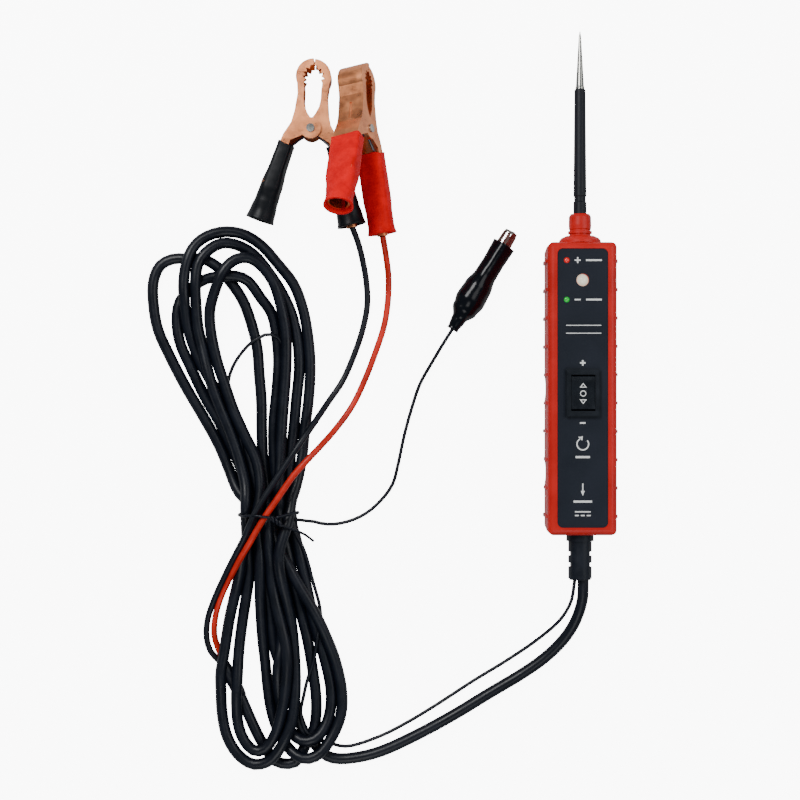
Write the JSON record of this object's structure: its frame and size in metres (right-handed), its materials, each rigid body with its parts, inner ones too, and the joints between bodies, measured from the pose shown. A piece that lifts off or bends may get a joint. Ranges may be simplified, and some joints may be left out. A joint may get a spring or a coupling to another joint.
{
  "type": "circuit test light",
  "caption": "Powered automotive circuit probe with indicator lamps, rocker switch, work light, folded supply cable, two battery clamps and a ground clip.",
  "frame": {"origin": "centre of the tester footprint (housing, probe and strain relief, without its cords) on the back face it lies on", "axes": "+Y along the probe to its tip, +X to the right seen from the front, +Z out of the front face"},
  "size_m": [0.2067, 0.3245, 0.048],
  "materials": {
    "black_abs": "moulded",
    "black_grip": "dipped",
    "black_pvc": "extruded",
    "brass": "turned",
    "circuit_board": "solder mask",
    "clear_lens": "frosted",
    "copper_plate": "copper plated",
    "green_lens": "clear green",
    "label_film": "printed film",
    "nickel": "nickel plated",
    "red_abs": "moulded, satin",
    "red_grip": "dipped, glossy",
    "red_lens": "clear red",
    "red_pvc": "extruded",
    "steel": "ground and polished",
    "white_pvc": "extruded"
  },
  "bodies": {
    "root": {"front_housing": "red_abs", "rear_housing": "red_abs", "front_label": "label_film", "housing_screws": "steel", "switch_body": "black_abs", "switch_terminals": "brass", "red_led": "red_lens", "green_led": "green_lens", "work_light": "clear_lens", "circuit_board": "circuit_board", "board_parts": "black_abs", "thermal_breaker": "black_abs", "cable_anchor": "black_abs", "probe_collar": "red_abs", "probe_socket": "brass", "probe_rod": "steel", "probe_needle": "steel", "probe_insulator": "black_pvc", "strain_relief": "black_pvc", "cable_end": "black_pvc", "ground_lead_end": "black_pvc", "red_wire": "red_pvc", "black_wire": "black_pvc", "probe_wire": "white_pvc", "main_cable": "black_pvc", "cable_hank": "black_pvc", "hank_tie": "black_pvc", "ground_lead_feed": "black_pvc", "ground_lead_tail": "black_pvc", "black_lead": "black_pvc", "red_lead": "red_pvc", "black_clamp_fixed_jaw": "copper_plate", "black_clamp_rivet": "nickel", "black_clamp_spring": "steel", "black_clamp_fixed_sleeve": "black_grip", "black_clamp_crimp": "copper_plate", "red_clamp_fixed_jaw": "copper_plate", "red_clamp_rivet": "nickel", "red_clamp_spring": "steel", "red_clamp_fixed_sleeve": "red_grip", "red_clamp_crimp": "copper_plate", "ground_clip_fixed_jaw": "nickel", "ground_clip_rivet": "nickel", "ground_clip_spring": "steel", "ground_clip_boot": "black_grip"},
    "rocker": {"rocker_button": "black_abs"},
    "black_clamp_jaw": {"black_clamp_moving_jaw": "copper_plate", "black_clamp_moving_sleeve": "black_grip"},
    "red_clamp_jaw": {"red_clamp_moving_jaw": "copper_plate", "red_clamp_moving_sleeve": "red_grip"},
    "ground_clip_jaw": {"ground_clip_moving_jaw": "nickel"}
  },
  "joints": [
    {"name": "rocker_pivot", "type": "hinge", "parent": "root", "child": "rocker", "pos_m": [0, -0.0383, 0.02075], "axis": [1, 0, 0], "range_deg": [-10, 10], "stiffness_Nm_per_rad": 0.1},
    {"name": "black_clamp_pivot", "type": "hinge", "parent": "root", "child": "black_clamp_jaw", "pos_m": [-0.1179, 0.0775, 0.0074], "axis": [0, 0, 1], "range_deg": [0, 28], "stiffness_Nm_per_rad": 1.2, "springref_deg": -34.38, "deforming": ["black_clamp_spring"]},
    {"name": "red_clamp_pivot", "type": "hinge", "parent": "root", "child": "red_clamp_jaw", "pos_m": [-0.0967, 0.0756, 0.0154], "axis": [0.8956, 0.1274, 0.4263], "range_deg": [0, 28], "stiffness_Nm_per_rad": 1.2, "springref_deg": -34.38, "deforming": ["red_clamp_spring"]},
    {"name": "ground_clip_pivot", "type": "hinge", "parent": "root", "child": "ground_clip_jaw", "pos_m": [-0.04, 0.0154, 0.0068], "axis": [0.6532, -0.4003, 0.6428], "range_deg": [0, 12], "stiffness_Nm_per_rad": 0.2, "springref_deg": -28.65, "deforming": ["ground_clip_spring", "ground_clip_boot"]}
  ]
}
